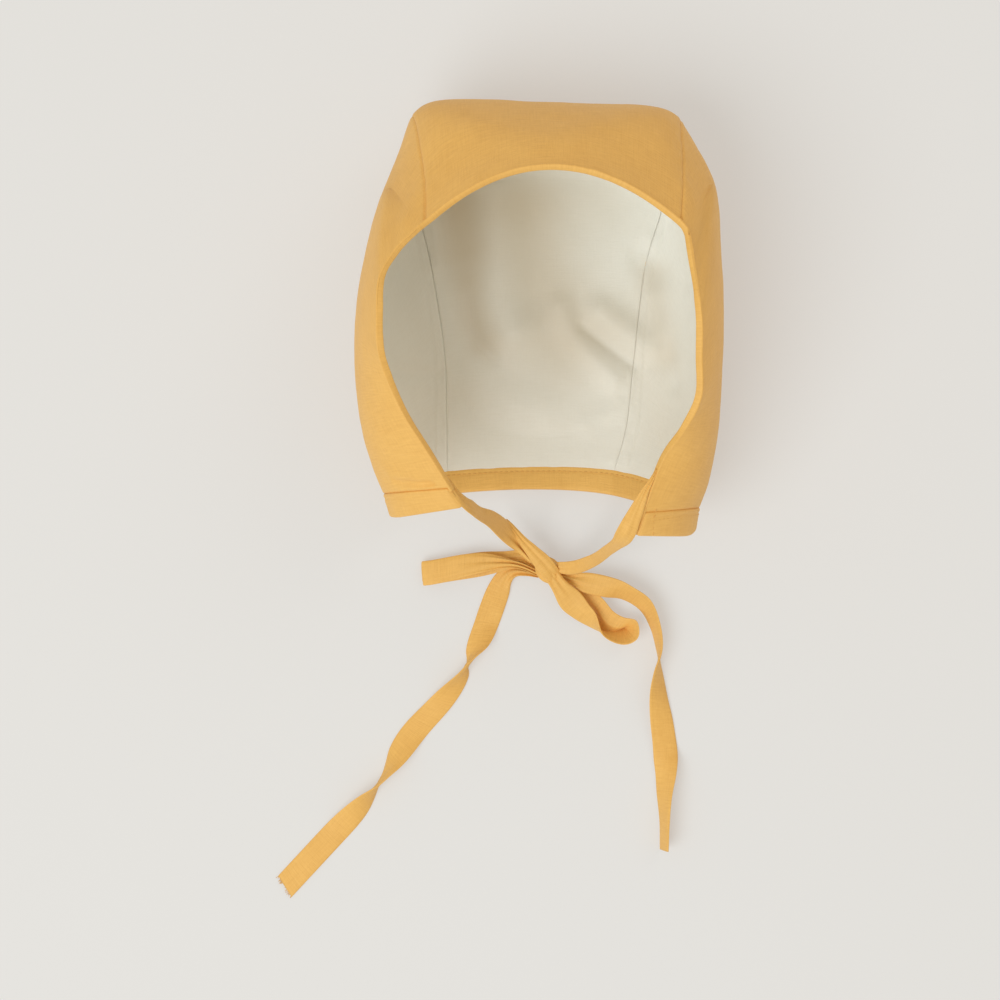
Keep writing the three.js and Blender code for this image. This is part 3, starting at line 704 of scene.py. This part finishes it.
def outer_panel(name, node, hoops):
    row, hoop = panel_grid(hoops, OUTER_ROWS)
    face = bonnet_face(row, hoop)
    from_seam = seam_distance(row, hoop)
    edge_fade = smooth_step(0, EDGE_FADE, SIDE_WIDTH * (2 - np.abs(hoop))) * smooth_step(0, FACE_FADE_ROW, row)
    lift = waves(face, OUTER_WAVES) + crest_lift(face, OUTER_CREASES)
    lift = lift * (LEFT_AT_EDGE + (1 - LEFT_AT_EDGE) * edge_fade) + pucker(face, from_seam, OUTER_PUCKERS)
    lift -= SEAM_DIP * bump(from_seam, SEAM_REACH) + TUCK_DEPTH * bump(row - TUCK_ROW, TUCK_REACH)
    points = face + bonnet_out(row, hoop) * lift[..., None]
    points[..., 2] = np.maximum(points[..., 2], OUTER_LOWEST)
    return panel_piece(name, node, points, OUTER_CLOTH, -1)


outer_crown = outer_panel("outer_crown", "crown_panel", (-1, 1))
outer_left = outer_panel("outer_left", "side_panel_left", (-2, -1))
outer_right = outer_panel("outer_right", "side_panel_right", (1, 2))

# %% [markdown]
# ## The lining
# The cream lining is what the photograph shows most of. It is cut like the outer cloth but hangs a little loose in it,
# so it has the slack folds of the table above. It may sink only a little, or it would cut through the outer cloth.
# Its seams lie under the outer seams, with the seam allowance pressed to one side, which shows as a faint step beside
# the line of the seam. Its grid is the inner, visible side, so the thickness goes outwards.

# %% The lining
LINING_DEPTH = 2.3
LINING_CLOTH = 0.4
LINING_ROWS = (0.075, BAND_ROW + 0.02)
LINING_END = 1.985
LINING_LOWEST = 1.0
LINING_PUCKERS = [(0.4, 4, 14)]
LINING_WAVES = [(0.5, 24, 11), (0.22, 10, 12), (0.05, 3.5, 13)]
LINING_SEAM_DIP, LINING_SEAM_REACH = 0.24, 0.55
ALLOWANCE, ALLOWANCE_STEP, ALLOWANCE_RISE = 6.0, 1.2, 0.35
TUCKED_ROWS, TUCKED_HOOP = 0.35, 0.06


def lining_panel(name, node, hoops):
    row, hoop = panel_grid(np.clip(hoops, -LINING_END, LINING_END), LINING_ROWS)
    inner = bonnet_place(row, hoop, np.full(row.shape, LINING_DEPTH))
    from_seam = seam_distance(row, hoop)
    tucked = smooth_step(0, TUCKED_ROWS, row) * smooth_step(0, TUCKED_ROWS, LINING_ROWS[1] - row)
    tucked = tucked * smooth_step(0, TUCKED_HOOP, LINING_END - np.abs(hoop))
    allowance = 1 - smooth_step(ALLOWANCE - ALLOWANCE_STEP, ALLOWANCE, from_seam)
    lift = waves(inner, LINING_WAVES) + crest_lift(inner, LINING_FOLDS) + pucker(inner, from_seam, LINING_PUCKERS)
    lift += ALLOWANCE_RISE * allowance * (np.abs(hoop) > 1) - LINING_SEAM_DIP * bump(from_seam, LINING_SEAM_REACH)
    points = inner - bonnet_out(row, hoop) * np.maximum(lift * tucked, -LINING_SINKS)[..., None]
    points[..., 2] = np.maximum(points[..., 2], LINING_LOWEST)
    # Painted shade: how far the lining's colour moves to the dark, warm cream here, from the table of painted shade.
    close = np.clip(crest_lift(inner, PAINTED_SHADE_LINES), 0, 1)
    return panel_piece(name, node, points, LINING_CLOTH, 1, close)


lining_crown = lining_panel("lining_of_crown", "lining_crown", (-1, 1))
lining_left = lining_panel("lining_of_left_side", "lining_left", (-2, -1))
lining_right = lining_panel("lining_of_right_side", "lining_right", (1, 2))

# %% [markdown]
# ## The turned edge round the face
# Along the face the outer cloth is rolled over the raw edge of the lining and sewn, which makes a narrow round edge.
# It runs in one piece from the left front corner over the forehead to the right one, across both seams, so it is one
# tube along that line rather than the hem of each panel. Its section is a flattened round that just wraps both layers,
# and it is slimmer along the sides, where the cloth is pulled straight.

# %% The turned edge
ROLL_HALF = (0.8, 1.5)
ROLL_MIDDLE = (0.72, 1.3)
ROLL_AROUND = 24
ROLL_POWER = 0.8
ROLL_STEP = 0.8
ROLL_WAVES = [(0.07, 7, 21), (0.05, 2.5, 22)]
ROLL_SLIMS = 0.55
SLIM_FROM, SLIM_TO = (0.6, 2.4), (6.6, 8)
PATH_EVENED, OUT_EVENED = 4, 8
SIDE_PLACES, TIP_PLACES, TOP_PLACES = 300, 9, 200


def face_line():
    """Rows and hoops along the face edge, from the left front corner to the right one."""
    down = np.linspace(BAND_ROW + 0.1, 0, SIDE_PLACES)
    left = [(row, -2.0) for row in down]
    tips = np.linspace(1, 2, TIP_PLACES)
    hoops = np.concatenate([-tips[::-1], np.linspace(-1, 1, TOP_PLACES), tips])
    top = [(0.0, hoop) for hoop in hoops]
    right = [(row, 2.0) for row in down[::-1]]
    return np.array(left + top[1:-1] + right)


def evenly(values, along, step):
    """The same line read at even steps of its length."""
    places = np.linspace(0, along[-1], int(along[-1] / step) + 1)
    return np.stack([np.interp(places, along, column) for column in values.T], axis=1)


def averaged(values, reach):
    """Each row replaced by the mean of its neighbours, as a stiff folded edge evens out its turns."""
    kernel = np.hanning(2 * reach + 3)[1:-1]
    padded = np.pad(values, ((reach, reach), (0, 0)), mode="edge")
    return np.stack([np.convolve(column, kernel / kernel.sum(), mode="valid") for column in padded.T], axis=1)


def section_ring(count, power):
    """Angles round a section, and its x and y from -1 to 1: the lower the power, the squarer the section."""
    turn = np.linspace(0, 2 * np.pi, count + 1)
    x, y = (np.sign(wave) * np.abs(wave) ** power for wave in (np.cos(turn), np.sin(turn)))
    return turn, x, y


def turned_edge():
    """The grid of the turned edge, and its places on the flat cloth."""
    row, hoop = face_line().T
    path = bonnet_face(row, hoop)
    line = evenly(np.hstack([path, bonnet_out(row, hoop), row[:, None]]), length_along(path), ROLL_STEP)
    path, out, row = averaged(line[:, :3], PATH_EVENED), unit(averaged(line[:, 3:6], OUT_EVENED)), line[:, 6]
    slim = 1 - ROLL_SLIMS * smooth_step(*SLIM_FROM, row) * (1 - smooth_step(*SLIM_TO, row))
    inward = unit(np.cross(out, np.gradient(path, axis=0)))
    turn, x, y = section_ring(ROLL_AROUND, ROLL_POWER)
    swell = 1 + waves(path, ROLL_WAVES)
    a = (ROLL_MIDDLE[0] + ROLL_HALF[0] * x) * (swell * slim)[:, None]
    b = ROLL_MIDDLE[1] + ROLL_HALF[1] * y * swell[:, None]
    points = path[:, None] + inward[:, None] * a[..., None] - out[:, None] * b[..., None]
    along = length_along(path)
    return points, turn * ROLL_HALF[0] + 0 * along[:, None], along[:, None] + 0 * turn


roll_grid = turned_edge()
roll = cloth_piece("turned_face_edge", *roll_grid, tube=True)
print("the turned edge is", round(length_along(roll_grid[0][:, 0])[-1]), "mm long")

# %% [markdown]
# ## The neck band
# The band is one strip of cloth folded over the raw edges at the neck, 9 to 10 mm wide and a little thicker than the
# panels. A ring of points round its section, a rectangle with round corners, is swept along the neck line from the
# left front corner to the right one. Its corners are rounded where the cloth turns under at the bulge of each side.

# %% The neck band
BAND_HALF = (0.53, 1.55)
BAND_MIDDLE_ROW, BAND_MIDDLE_DEPTH = 8.48, 1.1
BAND_AROUND = 48
BAND_POWER = 0.36
BAND_COLUMNS = 420
BAND_END = 1.995
BAND_LOWEST = 0.05
BAND_WAVES = [(0.16, 12, 31), (0.1, 4, 32)]
END_ROUND = 1.6
CORNER_HOOP, CORNER_REACH = 1.55, 0.1
LEFT_CORNER, RIGHT_CORNER = 0.1, 0.28
SEWN_ROW, SEWN_LINE_REACH, SEWN_LINE_DIP = 8.1, 0.05, 0.3


def neck_band():
    """The grid of the band, and its places on the flat cloth."""
    hoop = np.linspace(-BAND_END, BAND_END, BAND_COLUMNS)
    turn, along, deep = section_ring(BAND_AROUND, BAND_POWER)
    hoops = hoop[:, None] + 0 * turn
    from_end = length_along(bonnet_face(np.full(BAND_COLUMNS, 8.5), hoop))
    from_end = np.minimum(from_end, from_end[-1] - from_end)[:, None]
    close = np.sqrt(np.clip(1 - (1 - np.minimum(from_end / END_ROUND, 1)) ** 2, 0.02, 1))
    corner = np.where(hoops < 0, LEFT_CORNER, RIGHT_CORNER) * bump(np.abs(hoops) - CORNER_HOOP, CORNER_REACH)
    rows = BAND_MIDDLE_ROW + (BAND_HALF[0] * along - corner * np.maximum(along, 0)) * (0.9 + 0.1 * close)
    soft = waves(bonnet_face(rows, hoops), BAND_WAVES)
    sewn = SEWN_LINE_DIP * bump(rows - SEWN_ROW, SEWN_LINE_REACH) * np.sign(deep)
    depth = BAND_MIDDLE_DEPTH + BAND_HALF[1] * deep * close - (sewn - soft) * deep**2
    points = bonnet_place(rows, hoops, depth)
    points[..., 2] = np.maximum(points[..., 2], BAND_LOWEST)
    return points, length_along(points[:, 0])[:, None] + 0 * turn, length_along(points, 1)


band_grid = neck_band()
band = cloth_piece("neck_band_cloth", *band_grid, tube=True)
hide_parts("neck_band")
print("the band is", round(length_along(band_grid[0][:, 0])[-1]), "mm long")

# %% [markdown]
# ## The stitches
# The band is sewn on with mustard thread, and the stitches show as a row of small dashes near its upper edge, on the
# inside along the nape and on the outside at the right front corner, where a cross row also holds the tie. A stitch
# is a short thread that sinks into the cloth at both ends, so a small round bead stretched along the seam is enough.

# %% The stitches
STITCH = 1.5
STITCH_GAP = 0.75
STITCH_WIDTH = 0.42
STITCH_TURN = 0.12
SEAM_PLACES = 600
STITCH_LINES = [
    # rows and hoops from and to, and the depth under the outer face in mm
    ((SEWN_ROW, SEWN_ROW), (-1.93, 1.93), 2.42),
    ((SEWN_ROW + 0.04, SEWN_ROW + 0.08), (1.1, 1.96), -0.22),
    ((7.9, 8.86), (1.95, 1.93), -0.42),
]


def seam_line(rows, hoops, depth):
    """Even places for stitches along a line of rows and hoops: middles, headings and the way out."""
    row, hoop = np.linspace(*rows, SEAM_PLACES), np.linspace(*hoops, SEAM_PLACES)
    points = bonnet_place(row, hoop, np.full(SEAM_PLACES, depth))
    out = bonnet_out(row, hoop) * (1 if depth < 1 else -1)
    even = evenly(np.hstack([points, out]), length_along(points), STITCH + STITCH_GAP)
    return even[:, :3], unit(np.gradient(even[:, :3], axis=0)), unit(even[:, 3:])


def stitches(name, lines):
    pick = random.Random(3)
    bm = bmesh.new()
    for middles, headings, outs in lines:
        for middle, heading, out in zip(middles, headings, outs):
            bead = bmesh.ops.create_uvsphere(bm, u_segments=6, v_segments=5, radius=0.5)["verts"]
            side = np.cross(out, heading)
            turn = pick.uniform(-STITCH_TURN, STITCH_TURN)
            heading = heading * math.cos(turn) + side * math.sin(turn)
            axes = Matrix([Vector(np.cross(out, heading)), Vector(out), Vector(heading)]).transposed().to_4x4()
            size = Matrix.Diagonal((STITCH_WIDTH * MM, STITCH_WIDTH * MM, STITCH * pick.uniform(0.9, 1.08) * MM, 1))
            bmesh.ops.transform(bm, matrix=Matrix.Translation(Vector(middle) * MM) @ axes @ size, verts=bead)
    print(name, "has", len(bm.faces), "faces")
    return finish_mesh(name, bm)


band_stitches = stitches("band_stitches", [seam_line(*line) for line in STITCH_LINES])

# %% [markdown]
# ## Woven cotton
# Both cloths are a plain weave: threads cross over and under each other, some are thicker than others, and the dye or
# the natural colour varies a little over the cloth. One node group makes that for all of them from the cloth's own UV
# map, so the threads run along the panels and along the ties. It gives a colour and a height. The height feeds a Bump
# node, because single threads are far too fine to model. Where shade is painted, the colour moves to a third one, a
# darker, warmer painted shade.

# %% The weave, as a node group
WEAVE_SOCKETS = [
    # name, way and kind
    ("Cloth", "INPUT", "Color"), ("Deep", "INPUT", "Color"), ("Painted shade", "INPUT", "Color"),
    ("Threads", "INPUT", "Float"), ("Slubs", "INPUT", "Float"),
    ("Colour", "OUTPUT", "Color"), ("Height", "OUTPUT", "Float"),
]


def fill_inputs(tree, made, inputs):
    """Fills a node's inputs by name with values or with other nodes' outputs."""
    for key, value in inputs.items():
        if isinstance(value, bpy.types.NodeSocket):
            tree.links.new(value, made.inputs[key])
        else:
            made.inputs[key].default_value = value


def node(tree, kind, inputs=None, **settings):
    """Adds a node, sets its properties and fills its inputs."""
    made = tree.nodes.new(kind)
    for key, value in settings.items():
        setattr(made, key, value)
    fill_inputs(tree, made, inputs or {})
    return made


def maths(tree, operation, a, b):
    return node(tree, "ShaderNodeMath", {0: a, 1: b}, operation=operation).outputs[0]


def woven_cotton():
    tree = bpy.data.node_groups.new("woven_cotton", "ShaderNodeTree")
    for name, way, kind in WEAVE_SOCKETS:
        tree.interface.new_socket(name, in_out=way, socket_type="NodeSocket" + kind)
    given = tree.nodes.new("NodeGroupInput").outputs
    cloth = node(tree, "ShaderNodeUVMap", uv_map="cloth").outputs["UV"]
    warp = node(tree, "ShaderNodeTexWave", {"Vector": cloth, "Scale": given["Threads"]}, bands_direction="X")
    weft = node(tree, "ShaderNodeTexWave", {"Vector": cloth, "Scale": given["Threads"]}, bands_direction="Y")
    weave = maths(tree, "MULTIPLY", warp.outputs["Fac"], weft.outputs["Fac"])

    def speckle(places, scale, detail):
        return node(tree, "ShaderNodeTexNoise", {"Vector": places, "Scale": scale, "Detail": detail}).outputs["Fac"]

    def slub(scale):
        stretched = node(tree, "ShaderNodeMapping", {"Vector": cloth, "Scale": scale})
        return speckle(stretched.outputs[0], 1.0, 2.0)

    along_warp, along_weft = slub((130, 1700, 1)), slub((1500, 110, 1))
    slubs = maths(tree, "ADD", maths(tree, "MULTIPLY", along_warp, 1.2), maths(tree, "MULTIPLY", along_weft, 0.8))
    slubs = maths(tree, "MULTIPLY", maths(tree, "SUBTRACT", slubs, 1.0), given["Slubs"])
    mottle, grain = speckle(cloth, 55.0, 4.0), speckle(cloth, 900.0, 3.0)
    shade = maths(tree, "ADD", maths(tree, "MULTIPLY", mottle, 0.7), maths(tree, "MULTIPLY", grain, 0.5))
    shade = maths(tree, "ADD", maths(tree, "SUBTRACT", shade, 0.1), maths(tree, "MULTIPLY", slubs, 1.1))
    blend = node(tree, "ShaderNodeMix", {"Factor": shade, 6: given["Deep"], 7: given["Cloth"]}, data_type="RGBA")
    height = maths(tree, "ADD", maths(tree, "MULTIPLY", weave, 0.22), maths(tree, "MULTIPLY", slubs, 0.85))
    height = maths(tree, "ADD", height, maths(tree, "MULTIPLY", grain, 0.35))
    # painted shade: where the mesh's attribute says so, the colour is mixed towards the third, darker colour
    close = node(tree, "ShaderNodeAttribute", attribute_name="painted_shade").outputs["Fac"]
    seen = node(tree, "ShaderNodeMix", {"Factor": close, 6: blend.outputs[2], 7: given["Painted shade"]}, data_type="RGBA")
    node(tree, "NodeGroupOutput", {"Colour": seen.outputs[2], "Height": height})
    return tree


weave_group = woven_cotton()
print("weave group has", len(weave_group.nodes), "nodes")

# %% [markdown]
# ## The cotton materials
# Each cloth is one Principled shader that is matt with a little sheen, the soft light that loose fibres catch at a
# low angle. Only the colours and the fineness of the threads differ: the mustard cloth has more uneven threads.

# %% The materials
def cotton(name, cloth, deep, under, threads, slubs, relief, sheen):
    """A woven cotton finish. under is its painted shade colour, used where shade is painted on the mesh, and relief its
    threads' height in mm.
    """
    material = bpy.data.materials.new(name)
    material.use_nodes = True
    tree = material.node_tree
    given = {"Cloth": (*cloth, 1), "Deep": (*deep, 1), "Painted shade": (*under, 1), "Threads": threads, "Slubs": slubs}
    weave = node(tree, "ShaderNodeGroup", given, node_tree=weave_group)
    raised = node(tree, "ShaderNodeBump", {"Height": weave.outputs["Height"], "Distance": relief * MM, "Strength": 0.8})
    fill_inputs(tree, tree.nodes["Principled BSDF"], {
        "Base Color": weave.outputs["Colour"],
        "Normal": raised.outputs["Normal"],
        "Roughness": 0.66,
        "Specular IOR Level": 0.7,
        "Sheen Weight": sheen,
        "Sheen Roughness": 0.6,
    })
    return material


MUSTARD, DEEP_MUSTARD = (0.885, 0.525, 0.134), (0.77, 0.43, 0.096)
# The third cream is painted shade: the dark, warm colour that the lining gets where it lies in shade.
CREAM, DEEP_CREAM, CREAM_PAINTED_SHADE = (0.875, 0.87, 0.82), (0.825, 0.815, 0.755), (0.6, 0.49, 0.335)
THREAD, DEEP_THREAD = (0.80, 0.45, 0.11), (0.66, 0.36, 0.08)
mustard = cotton("mustard_cotton", MUSTARD, DEEP_MUSTARD, DEEP_MUSTARD, 430, 1.0, 0.16, 0.06)
cream = cotton("cream_cotton", CREAM, DEEP_CREAM, CREAM_PAINTED_SHADE, 520, 0.7, 0.09, 0.04)
mustard_thread = cotton("mustard_thread", THREAD, DEEP_THREAD, DEEP_THREAD, 900, 0.5, 0.05, 0.05)

bonnet_pieces = [outer_crown, outer_left, outer_right, roll, band]
tie_pieces = [core, wrap, lead_left, lead_right, loop_left, loop_right, tail_left, tail_right]
finishes = [
    (mustard, bonnet_pieces + tie_pieces, "outer_cotton"),
    (cream, [lining_crown, lining_left, lining_right], "lining_cotton"),
    (mustard_thread, [band_stitches, threads], "outer_cotton"),
]
for material, pieces, slot in finishes:
    for piece in pieces:
        piece.data.materials.append(material)
        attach(piece, "root")
    print(material.name, "on", len(pieces), "pieces")

# %% [markdown]
# ## The surface and the light
# The bonnet lies on a plain pale table. The light in the photograph is a big soft window from the lower left, about
# 55 degrees up, so the shadows are soft and lie to the upper right. The room throws warm light back from all round.
# A large area light, a weak warm one behind on the right and a warm world do the same. The table glows a little,
# because in the photograph it is lit from further away than one window reaches.

# %% The surface and the light
FLOOR_HALF = 3
LIGHTS_AIM = (0, -0.03, 0)
LIGHTS = [
    # name, place in m, width in m, power in W and colour
    ("window", (-1.15, -1.15, 2.35), 2.0, 41, (0.9, 0.97, 1)),
    ("fill", (1.1, 1.2, 1.5), 1.2, 4, (1, 0.9, 0.76)),
]


def plain_floor():
    bm = bmesh.new()
    bmesh.ops.create_grid(bm, x_segments=1, y_segments=1, size=FLOOR_HALF)
    floor = finish_mesh("pale_surface", bm)
    material = bpy.data.materials.new("pale_surface")
    material.use_nodes = True
    fill_inputs(material.node_tree, material.node_tree.nodes["Principled BSDF"], {
        "Base Color": (0.42, 0.42, 0.42, 1),
        "Emission Color": (0.98, 0.99, 1, 1),
        "Emission Strength": 0.36,
        "Roughness": 0.9,
        "Specular IOR Level": 0.1,
    })
    floor.data.materials.append(material)


def soft_light(name, place, size, power, colour):
    data = bpy.data.lights.new(name, "AREA")
    data.shape = "DISK"
    data.size = size
    data.energy = power
    data.color = colour
    light = bpy.data.objects.new(name, data)
    light.location = place
    light.rotation_euler = (Vector(LIGHTS_AIM) - Vector(place)).to_track_quat("-Z", "Y").to_euler()
    bpy.context.scene.collection.objects.link(light)


def warm_world():
    world = bpy.data.worlds.new("studio")
    world.use_nodes = True
    background = {"Color": (1, 0.88, 0.71, 1), "Strength": 0.6}
    fill_inputs(world.node_tree, world.node_tree.nodes["Background"], background)
    bpy.context.scene.world = world


plain_floor()
for light in LIGHTS:
    soft_light(*light)
warm_world()
bpy.context.scene.view_settings.view_transform = "Standard"
